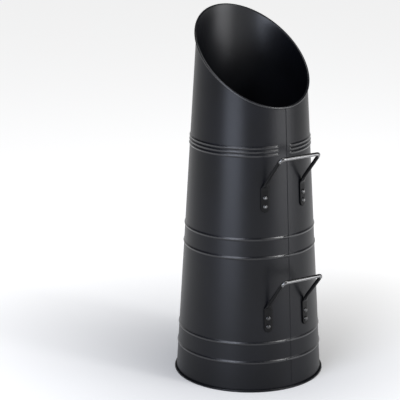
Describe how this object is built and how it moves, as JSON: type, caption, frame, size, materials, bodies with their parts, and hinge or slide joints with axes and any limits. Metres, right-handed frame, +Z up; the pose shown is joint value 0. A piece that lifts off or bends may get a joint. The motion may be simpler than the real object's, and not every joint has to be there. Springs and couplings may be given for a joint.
{
  "type": "coal scuttle",
  "caption": "Tall tapered sheet-steel coal scuttle with a slanted pouring mouth, wired edges, stiffening beads and riveted rod handles one above the other on its seam.",
  "frame": {"origin": "middle of the foot at floor level, just under the middle of the bottom pan", "axes": "+Z up along the axis of the tube, -Y towards the seam and the handles, +Y towards the high pouring lip, +X to the right seen from the handles"},
  "size_m": [0.2461, 0.2764, 0.5994],
  "materials": {
    "shell_coat": "satin black powder coat on sheet steel",
    "handle_coat": "black powder coat on steel rod, glossier than the shell",
    "rivet_coat": "black coat over steel rivets and washers",
    "edge_wire": "bare drawn steel wire, closed inside the curled edges"
  },
  "bodies": {
    "root": {"body_shell": "shell_coat", "base_pan": "shell_coat", "rim_wire": "edge_wire", "foot_wire": "edge_wire", "upper_handle": "handle_coat", "lower_handle": "handle_coat", "upper_rivet_left_top": "rivet_coat", "upper_rivet_left_bottom": "rivet_coat", "upper_rivet_right_top": "rivet_coat", "upper_rivet_right_bottom": "rivet_coat", "lower_rivet_left_top": "rivet_coat", "lower_rivet_left_bottom": "rivet_coat", "lower_rivet_right_top": "rivet_coat", "lower_rivet_right_bottom": "rivet_coat", "upper_washer_left_top": "rivet_coat", "upper_washer_left_bottom": "rivet_coat", "upper_washer_right_top": "rivet_coat", "upper_washer_right_bottom": "rivet_coat", "lower_washer_left_top": "rivet_coat", "lower_washer_left_bottom": "rivet_coat", "lower_washer_right_top": "rivet_coat", "lower_washer_right_bottom": "rivet_coat"}
  },
  "joints": []
}
